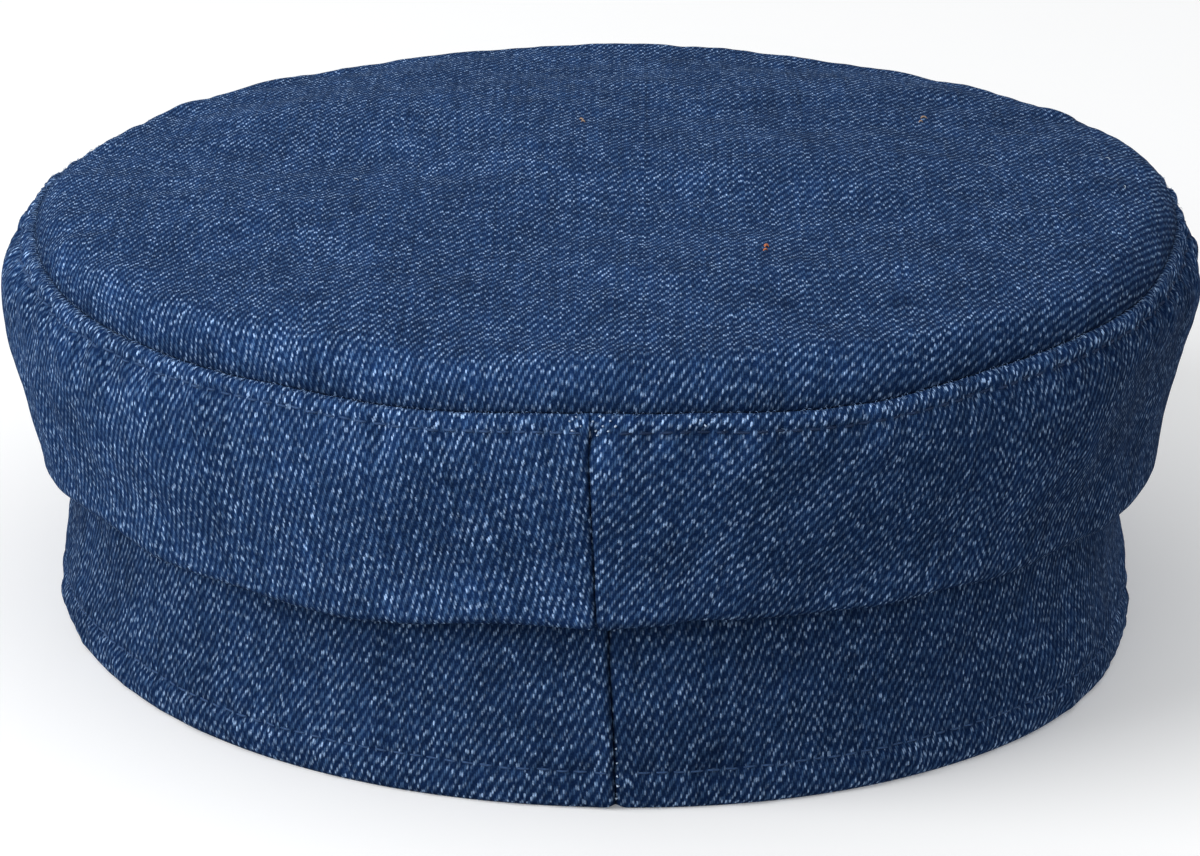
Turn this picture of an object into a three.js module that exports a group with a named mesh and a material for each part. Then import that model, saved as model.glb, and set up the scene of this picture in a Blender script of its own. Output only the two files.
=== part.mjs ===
// A baker boy cap in denim: a flat oval crown top, a deep side wall of two panels that rolls under over the
// head band, the upright head band, and a short front peak. Millimetres, +Z up. The peak faces -Y, the centre-back
// seams lie on +Y, and the wearer's left is +X. The origin ends up at the middle of the bottom of the box.
import * as THREE from "three";

// ---- driving dimensions ----
const COLUMNS = 72; // steps round the head, 5 degrees each
const BAND_WALL = 2.4; // doubled denim with its hem
const CLOTH_WALL = 1.6; // crown cloth with its seam allowance
const PEAK_WALL = 3.0; // covered peak
const GAP = 0.3; // clearance between neighbouring pieces

const RIM_HALF_WIDTH = 88; // outside of the rim, a 57 cm head inside
const RIM_HALF_LENGTH = 97.3;
const RIM_ROUNDNESS = 2.06; // exponent of the rim's oval, 2 is an ellipse
const CROWN_LONGER_BY = 4.9; // how much longer than wide the crown is, each way
const CROWN_ROUNDNESS = 2.0;
const CROWN_TILT = -0.029; // rise of the crown for each mm along X, full from TILT_FULL_AT up
const TILT_FULL_AT = 30;

const SEAM_Z = 62.2; // crown seam
const PLATEAU_Z = 68; // edge of the flat top, at the sides
const PLATEAU_BACK_RISE = 2.5; // higher than that at the back, and lower by as much at the front
const TOP_Z = 72; // middle of the flat top

const FRONT_RIM_LIFT = 8; // the rim rises over the peak's root
const FRONT_LIFT_FROM = 112; // degrees from the back where the rim starts to rise
const PEAK_HALF_SPAN = 62; // degrees each side of the front
const PEAK_DEPTH = 50;
const PEAK_END_DEPTH = 1.5;
const PEAK_ROOT_RISE = 1.6; // underside of the root above the rim
const PEAK_EDGE_Z = 0.1; // underside of the front edge
const PEAK_CROWN = 2.2; // how much the peak arches between root and edge
const PEAK_STEPS_ROUND = 30;
const PEAK_STEPS_OUT = 6;

// ---- the head band, outer face from the rim up ----
const BAND = [
  { name: "hem underside", halfWidth: 87.3, z: 0.0 },
  { name: "hem corner", halfWidth: 88.0, z: 0.9 },
  { name: "hem", halfWidth: 87.9, z: 4.5 },
  { name: "lower band", halfWidth: 87.2, z: 12.0 },
  { name: "upper band", halfWidth: 86.4, z: 22.0 },
  { name: "top edge", halfWidth: 86.0, z: 31.3 },
];

// ---- the crown's side panels, outer face from the crown seam down and round the fold ----
// longer: extra half-length over the crown's own; seam, fold, bulge: how far each row follows the stations
const SIDE = [
  { name: "allowance", halfWidth: 91.4, longer: 0, z: SEAM_Z - 0.25, seam: 1, fold: 0, bulge: 0 },
  { name: "seam", halfWidth: 93.7, longer: 0, z: SEAM_Z - 0.15, seam: 1, fold: 0, bulge: 0 },
  { name: "puff", halfWidth: 95.3, longer: 0, z: SEAM_Z - 1.1, seam: 1, fold: 0, bulge: 0.2 },
  { name: "stitch line", halfWidth: 96.3, longer: 0, z: SEAM_Z - 3.1, seam: 1, fold: 0, bulge: 0.5 },
  { name: "widest", halfWidth: 97.0, longer: 0, z: 56.6, seam: 0.6, fold: 0, bulge: 0.8 },
  { name: "upper side", halfWidth: 96.6, longer: 0.1, z: 50.0, seam: 0.2, fold: 0.1, bulge: 1 },
  { name: "middle side", halfWidth: 95.6, longer: 0.6, z: 43.5, seam: 0, fold: 0.3, bulge: 1 },
  { name: "lower side", halfWidth: 93.9, longer: 1.4, z: 36.0, seam: 0, fold: 0.6, bulge: 0.7 },
  { name: "roll", halfWidth: 92.5, longer: 2.6, z: 31.0, seam: 0, fold: 0.9, bulge: 0.4 },
  { name: "fold edge", halfWidth: 91.1, longer: 3.4, z: 27.8, seam: 0, fold: 1, bulge: 0.2 },
  { name: "under fold", halfWidth: 89.5, longer: 3.4, z: 28.4, seam: 0, fold: 1, bulge: 0.1 },
  { name: "tuck", halfWidth: 88.3, longer: 3.6, z: 30.6, seam: 0, fold: 0.5, bulge: 0 },
  { name: "lap", halfWidth: 87.0, longer: 4.2, z: 32.2, seam: 0, fold: 0.2, bulge: 0 },
  { name: "lap end", halfWidth: 84.6, longer: 4.4, z: 32.7, seam: 0, fold: 0, bulge: 0 },
];

// ---- the crown top, outer face from the seam up: the soft shoulder, then the flat top ----
// rise: share of the height from the seam to the edge of the flat top
const SHOULDER = [
  { inset: 0.0, rise: 0.0 },
  { inset: 0.7, rise: 0.25 },
  { inset: 1.5, rise: 0.52 },
  { inset: 2.8, rise: 0.79 },
  { inset: 4.6, rise: 0.95 },
  { inset: 6.8, rise: 1.0 },
];
const FLAT_TOP = [{ share: 0.86 }, { share: 0.66 }, { share: 0.4 }];
const FLAT_TOP_POWER = 2.2; // how late the flat top falls towards its edge

// ---- how the cloth lies round the head, from centre back (0) to the wearer's left (+) and right (-) ----
// seam, fold: how far the crown seam and the fold's lower edge rise; bulge: how far the side wall swells
const STATIONS = [
  { at: -180, seam: 0.0, fold: 0.0, bulge: 0.0 },
  { at: -120, seam: 0.0, fold: 0.0, bulge: -0.4 },
  { at: -90, seam: 0.0, fold: -0.4, bulge: -0.7 },
  { at: -67, seam: 0.1, fold: -0.8, bulge: -0.6 },
  { at: -52, seam: 0.2, fold: 0.0, bulge: -0.2 },
  { at: -36, seam: -0.2, fold: 1.3, bulge: 0.1 },
  { at: -26, seam: -0.8, fold: 1.0, bulge: 0.3 },
  { at: -17, seam: -0.3, fold: 1.4, bulge: 0.0 },
  { at: -9, seam: 0.1, fold: 2.2, bulge: -0.4 },
  { at: 0, seam: 0.3, fold: 0.8, bulge: -0.2 },
  { at: 10, seam: 0.1, fold: 1.1, bulge: 0.2 },
  { at: 20, seam: -0.2, fold: 0.0, bulge: 0.5 },
  { at: 29, seam: -0.3, fold: -0.1, bulge: 0.4 },
  { at: 40, seam: -0.2, fold: 0.5, bulge: 0.0 },
  { at: 50, seam: -0.1, fold: 1.1, bulge: 0.0 },
  { at: 58, seam: 0.1, fold: 2.0, bulge: 0.3 },
  { at: 67, seam: 0.5, fold: 1.1, bulge: 0.5 },
  { at: 90, seam: 0.3, fold: 0.0, bulge: 0.7 },
  { at: 120, seam: 0.0, fold: 0.0, bulge: 0.4 },
];

const DENIM = { color: 0x3a547f, roughness: 0.92, metalness: 0 };
const DENIM_SHADED = { color: 0x2f4569, roughness: 0.92, metalness: 0 };

// ---- helpers ----
const radians = (degrees) => (degrees * Math.PI) / 180;
const smooth = (t) => t * t * (3 - 2 * t);
const clamp01 = (t) => Math.min(1, Math.max(0, t));

/** The stations' values at an angle in degrees, eased from row to row. */
function stationAt(degrees) {
  const at = ((((degrees + 180) % 360) + 360) % 360) - 180;
  let i = STATIONS.length - 1;
  while (STATIONS[i].at > at) i--;
  const a = STATIONS[i],
    b = STATIONS[(i + 1) % STATIONS.length];
  const width = (((b.at - a.at) % 360) + 360) % 360;
  const t = smooth((at - a.at) / width);
  const mix = (key) => a[key] + (b[key] - a[key]) * t;
  return { seam: mix("seam"), fold: mix("fold"), bulge: mix("bulge") };
}

/** How far the rim is lifted at an angle from the back. */
function rimLift(degrees) {
  const away = 180 - Math.abs(((((degrees + 180) % 360) + 360) % 360) - 180);
  return FRONT_RIM_LIFT * smooth(clamp01(1 - away / (180 - FRONT_LIFT_FROM)));
}

/** A point of an oval, by angle from centre back. */
function onOval(halfWidth, halfLength, roundness, degrees) {
  const s = Math.sin(radians(degrees)),
    c = Math.cos(radians(degrees)),
    k = 2 / roundness;
  return new THREE.Vector2(
    halfWidth * Math.sign(s) * Math.abs(s) ** k,
    halfLength * Math.sign(c) * Math.abs(c) ** k,
  );
}

/** Tilts the crown, and the top of the band with it. */
function tilted(x, y, z) {
  return new THREE.Vector3(x, y, z + CROWN_TILT * x * clamp01(z / TILT_FULL_AT));
}

/** Outward unit normals of a profile of {r, z} rows that runs down its outer face. */
function profileNormals(profile) {
  return profile.map((p, i) => {
    const a = profile[Math.max(0, i - 1)],
      b = profile[Math.min(profile.length - 1, i + 1)];
    const dr = b.r - a.r,
      dz = b.z - a.z,
      length = Math.hypot(dr, dz);
    return { r: -dz / length, z: dr / length };
  });
}

/** The points of a wall of cloth in section: down its outer face, then back up its inner face. */
function sectionLoop(rows, wall) {
  const normals = profileNormals(rows.map((row) => ({ r: row.halfWidth, z: row.z })));
  return [
    ...rows.map((row, i) => ({ row, normal: normals[i], depth: 0 })),
    ...rows.map((row, i) => ({ row, normal: normals[i], depth: wall })).reverse(),
  ];
}

/** A closed ring of cloth: the section, carried all round. */
function ringGeometry(rows, wall, place) {
  const loop = sectionLoop(rows, wall);
  const positions = [],
    index = [];
  for (let c = 0; c < COLUMNS; c++)
    for (const point of loop)
      positions.push(...place(point, (360 * c) / COLUMNS).toArray());
  const n = loop.length;
  for (let c = 0; c < COLUMNS; c++)
    for (let r = 0; r < n; r++) {
      const a = c * n + r,
        b = c * n + ((r + 1) % n),
        d = ((c + 1) % COLUMNS) * n + r,
        e = ((c + 1) % COLUMNS) * n + ((r + 1) % n);
      index.push(a, d, b, b, d, e);
    }
  return solid(positions, index);
}

/** A panel of cloth: the section, carried from one angle to another and closed at both ends. */
function panelGeometry(rows, wall, place, from, to) {
  const loop = sectionLoop(rows, wall),
    n = loop.length,
    steps = COLUMNS / 2;
  const positions = [],
    index = [];
  for (let c = 0; c <= steps; c++)
    for (const point of loop)
      positions.push(...place(point, from + ((to - from) * c) / steps).toArray());
  for (let c = 0; c < steps; c++)
    for (let r = 0; r < n; r++) {
      const a = c * n + r,
        b = c * n + ((r + 1) % n);
      index.push(a, a + n, b, b, a + n, b + n);
    }
  const last = steps * n;
  for (let i = 0; i < rows.length - 1; i++) {
    const a = i,
      b = i + 1,
      d = n - 1 - i, // the inner face's point beside a
      e = n - 2 - i;
    index.push(a, b, e, a, e, d);
    index.push(last + a, last + e, last + b, last + a, last + d, last + e);
  }
  return solid(positions, index);
}

function solid(positions, index) {
  const geometry = new THREE.BufferGeometry();
  geometry.setAttribute("position", new THREE.Float32BufferAttribute(positions, 3));
  geometry.setIndex(index);
  geometry.computeVertexNormals();
  return geometry;
}

// ---- the head band ----
function bandPoint({ row, normal, depth }, degrees) {
  const r = row.halfWidth - (depth ? BAND_WALL : 0);
  const p = onOval(r, r + (RIM_HALF_LENGTH - RIM_HALF_WIDTH), RIM_ROUNDNESS, degrees);
  const top = BAND[BAND.length - 1].z;
  const z = row.z + rimLift(degrees) * (1 - row.z / top);
  return tilted(p.x, p.y, z);
}
// the profile runs down the outer face, so the rim comes last
const bandGeometry = ringGeometry([...BAND].reverse(), BAND_WALL, bandPoint);

// ---- the crown's side panels ----
function sidePoint({ row, normal, depth }, degrees) {
  const s = stationAt(degrees);
  const r = row.halfWidth - depth * normal.r + row.bulge * s.bulge;
  const p = onOval(r, r + CROWN_LONGER_BY + row.longer, CROWN_ROUNDNESS, degrees);
  const z = row.z - depth * normal.z + row.seam * s.seam + row.fold * s.fold;
  return tilted(p.x, p.y, z);
}
// a seam joins the two panels at the centre back, and another, hidden, at the front
const half = (GAP / 2 / (SIDE[4].halfWidth + CROWN_LONGER_BY)) * (180 / Math.PI);
const leftGeometry = panelGeometry(SIDE, CLOTH_WALL, sidePoint, half, 180 - half);
const rightGeometry = panelGeometry(SIDE, CLOTH_WALL, sidePoint, half - 180, -half);

// ---- the crown top ----
function topGeometry() {
  const seam = SIDE[1].halfWidth;
  const edge = seam - SHOULDER[SHOULDER.length - 1].inset;
  const base = SEAM_Z + GAP / 2;
  const outer = [
    ...[...FLAT_TOP].reverse().map(({ share }) => ({
      r: edge * share,
      z: TOP_Z + (PLATEAU_Z - TOP_Z) * share ** FLAT_TOP_POWER,
      share,
    })),
    ...[...SHOULDER].reverse().map(({ inset, rise }) => ({
      r: seam - inset,
      z: base + (PLATEAU_Z - base) * rise,
      rise,
    })),
  ];
  const normals = profileNormals(outer);
  normals[outer.length - 1] = { r: 1, z: 0 }; // the wall ends level at the seam
  const loop = [
    ...outer.map((p, i) => ({ ...p, n: normals[i], depth: 0 })),
    ...outer.map((p, i) => ({ ...p, n: normals[i], depth: CLOTH_WALL })).reverse(),
  ];
  const place = (p, degrees) => {
    const s = stationAt(degrees);
    const back = PLATEAU_BACK_RISE * Math.cos(radians(degrees));
    const follow = p.rise === undefined ? p.share ** 3 : p.rise;
    const r = p.r - p.depth * p.n.r;
    const o = onOval(r, r + CROWN_LONGER_BY * (r / seam), CROWN_ROUNDNESS, degrees);
    const z = p.z - p.depth * p.n.z + follow * back + (1 - follow) * s.seam * (p.rise === undefined ? 0 : 1);
    return tilted(o.x, o.y, z);
  };
  const n = loop.length,
    positions = [],
    index = [];
  for (let c = 0; c < COLUMNS; c++)
    for (const p of loop) positions.push(...place(p, (360 * c) / COLUMNS).toArray());
  for (let c = 0; c < COLUMNS; c++)
    for (let r = 0; r < n - 1; r++) {
      const a = c * n + r,
        b = a + 1,
        d = ((c + 1) % COLUMNS) * n + r,
        e = d + 1;
      index.push(a, d, b, b, d, e);
    }
  const outerPole = positions.length / 3;
  positions.push(0, 0, TOP_Z, 0, 0, TOP_Z - CLOTH_WALL);
  for (let c = 0; c < COLUMNS; c++) {
    const here = c * n,
      next = ((c + 1) % COLUMNS) * n;
    index.push(outerPole, next, here); // the outer face's middle
    index.push(outerPole + 1, here + n - 1, next + n - 1); // the inner face's middle
  }
  return solid(positions, index);
}

// ---- the peak ----
function peakGeometry() {
  const rows = PEAK_STEPS_OUT + 1,
    columns = PEAK_STEPS_ROUND + 1;
  const point = (i, j, above) => {
    const s = (2 * i) / PEAK_STEPS_ROUND - 1, // -1 and 1 at the ends
      t = j / PEAK_STEPS_OUT, // 0 at the root, 1 at the edge
      degrees = 180 + s * PEAK_HALF_SPAN;
    const r = RIM_HALF_WIDTH + GAP;
    const root = onOval(r, r + (RIM_HALF_LENGTH - RIM_HALF_WIDTH), RIM_ROUNDNESS, degrees);
    const depth = PEAK_END_DEPTH + (PEAK_DEPTH - PEAK_END_DEPTH) * (1 - s * s) ** 0.85;
    const out = new THREE.Vector2(0.3 * Math.sin(radians(degrees)), Math.cos(radians(degrees))).normalize();
    const low = rimLift(degrees) + PEAK_ROOT_RISE;
    const z =
      low + (PEAK_EDGE_Z - low) * t + PEAK_CROWN * 4 * t * (1 - t) * (1 - s * s) + (above ? PEAK_WALL : 0);
    return new THREE.Vector3(root.x + out.x * depth * t, root.y + out.y * depth * t, z);
  };
  const positions = [],
    index = [];
  for (const above of [true, false])
    for (let i = 0; i < columns; i++)
      for (let j = 0; j < rows; j++) positions.push(...point(i, j, above).toArray());
  const at = (above, i, j) => (above ? 0 : columns * rows) + i * rows + j;
  const quad = (a, b, c, d) => index.push(a, c, b, a, d, c);
  for (let i = 0; i < columns - 1; i++)
    for (let j = 0; j < rows - 1; j++) {
      quad(at(true, i, j), at(true, i, j + 1), at(true, i + 1, j + 1), at(true, i + 1, j));
      quad(at(false, i, j), at(false, i + 1, j), at(false, i + 1, j + 1), at(false, i, j + 1));
    }
  for (let i = 0; i < columns - 1; i++) {
    quad(at(true, i, 0), at(true, i + 1, 0), at(false, i + 1, 0), at(false, i, 0));
    quad(at(true, i, rows - 1), at(false, i, rows - 1), at(false, i + 1, rows - 1), at(true, i + 1, rows - 1));
  }
  for (let j = 0; j < rows - 1; j++) {
    quad(at(true, 0, j), at(false, 0, j), at(false, 0, j + 1), at(true, 0, j + 1));
    quad(at(true, columns - 1, j), at(true, columns - 1, j + 1), at(false, columns - 1, j + 1), at(false, columns - 1, j));
  }
  return solid(positions, index);
}

// ---- the assembly ----
const cap = new THREE.Group();
for (const [name, geometry, finish] of [
  ["crown_top", topGeometry(), DENIM],
  ["crown_side_left", leftGeometry, DENIM],
  ["crown_side_right", rightGeometry, DENIM],
  ["head_band", bandGeometry, DENIM_SHADED],
  ["peak", peakGeometry(), DENIM_SHADED],
]) {
  const mesh = new THREE.Mesh(geometry, new THREE.MeshStandardMaterial(finish));
  mesh.name = name;
  cap.add(mesh);
}

// the origin is the middle of the bottom of the cap's box
const box = new THREE.Box3().setFromObject(cap);
cap.position.set(-(box.min.x + box.max.x) / 2, -(box.min.y + box.max.y) / 2, -box.min.z);

export default cap;
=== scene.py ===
import math

import bpy
import numpy as np
from mathutils import Matrix, Vector


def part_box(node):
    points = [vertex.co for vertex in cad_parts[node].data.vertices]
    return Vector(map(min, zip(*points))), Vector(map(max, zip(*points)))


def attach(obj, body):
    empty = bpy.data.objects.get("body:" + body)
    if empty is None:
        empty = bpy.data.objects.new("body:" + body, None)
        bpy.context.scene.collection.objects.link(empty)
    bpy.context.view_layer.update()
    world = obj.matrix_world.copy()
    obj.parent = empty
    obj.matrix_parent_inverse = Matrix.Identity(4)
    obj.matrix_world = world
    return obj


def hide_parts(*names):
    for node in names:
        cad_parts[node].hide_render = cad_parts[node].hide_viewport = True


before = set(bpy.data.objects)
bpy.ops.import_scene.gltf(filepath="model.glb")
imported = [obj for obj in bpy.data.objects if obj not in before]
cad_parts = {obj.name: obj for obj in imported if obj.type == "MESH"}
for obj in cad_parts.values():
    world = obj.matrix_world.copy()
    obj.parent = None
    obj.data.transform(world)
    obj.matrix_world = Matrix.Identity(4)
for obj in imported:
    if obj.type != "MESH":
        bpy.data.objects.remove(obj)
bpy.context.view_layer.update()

# The cap is worked out in millimetres about the middle of its rim, and put in the frame's metres at the end.
low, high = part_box("head_band")
MIDDLE = np.array([500 * (low.x + high.x), 500 * (low.y + high.y), 0.0])

# ------------------------------------------------------------------ sizes
RIM_HALF_WIDTH, RIM_HALF_LENGTH, RIM_ROUNDNESS = 88.0, 97.3, 2.06
CROWN_LONGER_BY, CROWN_ROUNDNESS = 4.9, 2.0
CROWN_TILT, TILT_FULL_AT = -0.029, 30.0
SEAM_Z, PLATEAU_Z, PLATEAU_BACK_RISE, TOP_Z = 62.9, 68.0, 2.5, 72.0
FRONT_RIM_LIFT, FRONT_LIFT_FROM = 8.0, 112.0
BAND_WALL, CLOTH_WALL, PEAK_WALL = 2.4, 1.6, 3.0

# rows down each piece's outer face: half_width, z, longer, seam, fold, bulge
BAND = [  # from the top edge down and round the hem
    dict(r=85.3, z=31.3),
    dict(r=85.9, z=22.0),
    dict(r=86.9, z=12.5),
    dict(r=87.55, z=7.6),
    dict(r=87.6, z=6.3),
    dict(r=87.9, z=4.6),
    dict(r=88.05, z=2.2),
    dict(r=87.8, z=0.7),
    dict(r=87.1, z=0.05),
]
SIDE = [
    dict(r=91.4, z=SEAM_Z - 0.15, longer=0, seam=1, fold=0, bulge=0),
    dict(r=92.6, z=SEAM_Z + 0.02, longer=0, seam=1, fold=0, bulge=0),
    dict(r=93.3, z=SEAM_Z + 0.18, longer=0, seam=1, fold=0, bulge=0),
    dict(r=94.02, z=SEAM_Z + 0.50, longer=0, seam=1, fold=0, bulge=0.0),
    dict(r=94.85, z=SEAM_Z + 0.22, longer=0, seam=1, fold=0, bulge=0.1),
    dict(r=95.55, z=SEAM_Z - 0.95, longer=0, seam=1, fold=0, bulge=0.3),
    dict(r=96.15, z=SEAM_Z - 2.9, longer=0, seam=1, fold=0, bulge=0.5),
    dict(r=96.9, z=SEAM_Z - 5.2, longer=0, seam=0.7, fold=0, bulge=0.6),
    dict(r=96.75, z=51.0, longer=0.1, seam=0.2, fold=0.1, bulge=1),
    dict(r=95.1, z=43.5, longer=1.1, seam=0, fold=0.3, bulge=1),
    dict(r=92.9, z=36.0, longer=2.4, seam=0, fold=0.6, bulge=0.7),
    dict(r=91.9, z=31.0, longer=3.5, seam=0, fold=0.9, bulge=0.4),
    dict(r=91.4, z=28.6, longer=3.8, seam=0, fold=1, bulge=0.3),
    dict(r=90.6, z=27.8, longer=3.8, seam=0, fold=1, bulge=0.2),
    dict(r=89.6, z=28.3, longer=3.6, seam=0, fold=1, bulge=0.1),
    dict(r=88.4, z=30.4, longer=3.6, seam=0, fold=0.5, bulge=0),
    dict(r=87.2, z=32.0, longer=4.2, seam=0, fold=0.2, bulge=0),
    dict(r=84.6, z=32.7, longer=4.4, seam=0, fold=0, bulge=0),
]
# the crown top's shoulder, from the seam up: inset from the seam, and share of the height to the flat top
SHOULDER = [
    dict(inset=1.3, rise=-0.005),
    dict(inset=0.25, rise=0.0),
    dict(inset=-0.1, rise=0.045),
    dict(inset=0.05, rise=0.15),
    dict(inset=0.55, rise=0.34),
    dict(inset=1.25, rise=0.55),
    dict(inset=2.3, rise=0.74),
    dict(inset=3.5, rise=0.89),
    dict(inset=5.0, rise=0.965),
    dict(inset=6.8, rise=1.0),
]
# how the cloth lies round the head, in degrees from centre back, + to the wearer's left
STATIONS = [
    # at, seam, fold, bulge, shoulder
    (-180, 0.0, 0.0, 0.0, 0.95),
    (-165, 0.0, 0.0, 0.0, 0.35),
    (-150, 0.0, 0.0, -0.1, -0.5),
    (-135, 0.0, 0.0, -0.2, -0.3),
    (-120, 0.0, 0.0, -0.5, 0.1),
    (-105, 0.0, -0.2, -1.3, 0.6),
    (-90, 0.0, -0.4, -1.6, 1.1),
    (-67, 0.1, -0.8, -1.2, 0.3),
    (-60, 0.1, -0.64, -0.7, 0.0),
    (-52, 0.2, 0.5, -0.2, 0.0),
    (-44, 0.1, 0.9, 0.0, 0.0),
    (-36, -0.2, 1.6, 0.1, 0.0),
    (-26, -1.2, 0.7, 0.3, 0.0),
    (-17, -0.85, 2.1, 0.0, 0.0),
    (-12, -0.35, 2.9, -0.2, 0.0),
    (-9, 0.0, 3.5, -0.4, 0.0),
    (-6, 0.1, 2.9, -0.2, 0.0),
    (-3, 0.2, 2.6, 0.0, 0.0),
    (0, 0.3, 2.4, -0.2, 0.0),
    (5, 0.2, 2.2, 0.0, 0.0),
    (10, -0.1, 2.5, 0.2, 0.0),
    (16, -0.45, 1.3, 0.4, 0.0),
    (22, -0.4, 0.5, 0.5, 0.0),
    (29, 0.0, 0.8, 0.4, 0.0),
    (37, -0.25, 0.9, 0.0, 0.0),
    (45, -0.2, 0.6, 0.0, 0.0),
    (51, -0.15, 1.2, 0.1, 0.0),
    (57, 0.0, 2.0, 0.3, 0.0),
    (62, 0.2, 1.8, 0.4, 0.0),
    (67, 0.5, 1.1, 0.5, 0.0),
    (78, 0.4, 0.4, 0.5, 0.0),
    (90, 0.3, 0.0, 0.6, 0.0),
    (105, 0.1, 0.0, 0.4, -1.1),
    (120, 0.0, 0.0, 0.2, -0.2),
    (135, 0.0, 0.0, 0.1, 0.35),
    (150, 0.0, 0.0, 0.1, -0.5),
    (165, 0.0, 0.0, 0.0, 0.25),
]
# how far the crown seam is drawn in at both ends
DRAWN_IN = [
    (-180, 0.0), (-112, 0.1), (-100, 0.4), (-90, 1.1), (-82, 1.6), (-75, 1.6), (-68, 0.9), (-61, 0.2), (-52, 0.0),
    (0, 0.0), (55, 0.0), (62, 0.1), (69, 0.6), (76, 1.1), (84, 1.4), (91, 1.2), (99, 0.6), (112, 0.7), (126, 0.5), (145, 0.1),
]
STITCH = 2.75  # one stitch and its gap
SEAM_STITCH_DOWN = 3.1  # from the crown seam to its topstitch, along the cloth
HEM_STITCH_UP = 6.3

# ------------------------------------------------------------------ small helpers


def hermite(points, ts, at, period=None):
    """Smooth curve through rows of points at ts, read at the values at."""
    points, ts, at = np.asarray(points, float), np.asarray(ts, float), np.asarray(at, float)
    if period:
        points = np.vstack([points[-2:], points, points[:3]])
        ts = np.concatenate([ts[-2:] - period, ts, ts[:3] + period])
        at = (at - ts[2]) % period + ts[2]
    steps = np.diff(ts)[:, None]
    slopes = np.diff(points, axis=0) / steps
    m = np.empty_like(points)
    m[1:-1] = (slopes[:-1] * steps[1:] + slopes[1:] * steps[:-1]) / (steps[1:] + steps[:-1])
    m[0], m[-1] = slopes[0], slopes[-1]
    i = np.clip(np.searchsorted(ts, at, side="right") - 1, 0, len(ts) - 2)
    h = steps[i, 0]
    t = ((at - ts[i]) / h)[:, None]
    h = h[:, None]
    return (
        (2 * t**3 - 3 * t**2 + 1) * points[i]
        + (t**3 - 2 * t**2 + t) * h * m[i]
        + (3 * t**2 - 2 * t**3) * points[i + 1]
        + (t**3 - t**2) * h * m[i + 1]
    )


def rows_along(rows, keys, step):
    """The rows' columns, resampled every step mm along the profile of r and z."""
    points = np.array([[row.get(k, 0.0) for k in keys] for row in rows], float)
    ts = np.concatenate([[0], np.cumsum(np.hypot(*np.diff(points[:, :2], axis=0).T))])
    fine = hermite(points, ts, np.linspace(0, ts[-1], 1200))
    length = np.concatenate([[0], np.cumsum(np.hypot(*np.diff(fine[:, :2], axis=0).T))])
    n = max(2, int(round(length[-1] / step)) + 1)
    at = np.interp(np.linspace(0, length[-1], n), length, np.linspace(0, ts[-1], 1200))
    return hermite(points, ts, at)


def oval(half_width, half_length, roundness, degrees):
    a = np.radians(degrees)
    s, c, k = np.sin(a), np.cos(a), 2 / roundness
    return half_width * np.sign(s) * np.abs(s) ** k, half_length * np.sign(c) * np.abs(c) ** k


def tilted(x, y, z):
    z = z + CROWN_TILT * x * np.clip(z / TILT_FULL_AT, 0, 1)
    return np.stack(np.broadcast_arrays(x, y, z), -1)


def eased(t):
    t = np.clip(t, 0, 1)
    return t * t * (3 - 2 * t)


def rim_lift(degrees):
    away = 180 - np.abs((np.asarray(degrees, float) + 180) % 360 - 180)
    return FRONT_RIM_LIFT * eased(1 - away / (180 - FRONT_LIFT_FROM))


def station(degrees):
    table = np.array(STATIONS, float)
    got = hermite(table[:, 1:], table[:, 0], np.asarray(degrees, float), 360)
    return dict(seam=got[:, 0], fold=got[:, 1], bulge=got[:, 2], shoulder=got[:, 3])


def drawn_in(degrees):
    table = np.array(DRAWN_IN, float)
    return hermite(table[:, 1:], table[:, 0], np.asarray(degrees, float).reshape(-1), 360)[:, 0].reshape(np.shape(degrees))


# ------------------------------------------------------------------ meshes
def add_mesh(name, verts, faces, uv=None, slots=None, attributes=None):
    """A mesh piece from points in mm, arrays of faces, one cloth coordinate in mm a point, and one slot for each array."""
    me = bpy.data.meshes.new(name)
    verts = (np.asarray(verts, float) + MIDDLE) * 0.001
    faces = [np.asarray(f, np.int32) for f in faces]
    sizes = np.concatenate([np.full(len(f), f.shape[1], np.int32) for f in faces])
    corners = np.concatenate([f.reshape(-1) for f in faces])
    starts = np.concatenate([[0], np.cumsum(sizes)[:-1]]).astype(np.int32)
    me.vertices.add(len(verts))
    me.vertices.foreach_set("co", verts.astype(np.float32).reshape(-1))
    me.loops.add(len(corners))
    me.loops.foreach_set("vertex_index", corners)
    me.polygons.add(len(sizes))
    me.polygons.foreach_set("loop_start", starts)
    me.update(calc_edges=True)
    if uv is not None:
        layer = me.uv_layers.new(name="cloth")
        layer.data.foreach_set("uv", np.asarray(uv, np.float32)[corners].reshape(-1))
    if slots is not None:
        numbers = np.concatenate([np.full(len(f), s, np.int32) for f, s in zip(faces, slots)])
        me.polygons.foreach_set("material_index", numbers)
    for key, values in (attributes or {}).items():
        a = me.attributes.new(key, "FLOAT", "POINT")
        a.data.foreach_set("value", np.asarray(values, np.float32).reshape(-1))
    me.polygons.foreach_set("use_smooth", np.ones(len(sizes), bool))
    me.update()
    me.validate()
    o = bpy.data.objects.new(name, me)
    bpy.context.scene.collection.objects.link(o)
    return o


def spread(a, b, step=0.43, fine=0.15, reach=1.8):
    """Angles from one seam to the next, closer together near both."""
    near = int(round(reach / fine))
    return np.concatenate([
        np.linspace(a, a + reach, near, endpoint=False),
        np.linspace(a + reach, b - reach, int(round((b - a - 2 * reach) / step)), endpoint=False),
        np.linspace(b - reach, b, near + 1),
    ])


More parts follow.
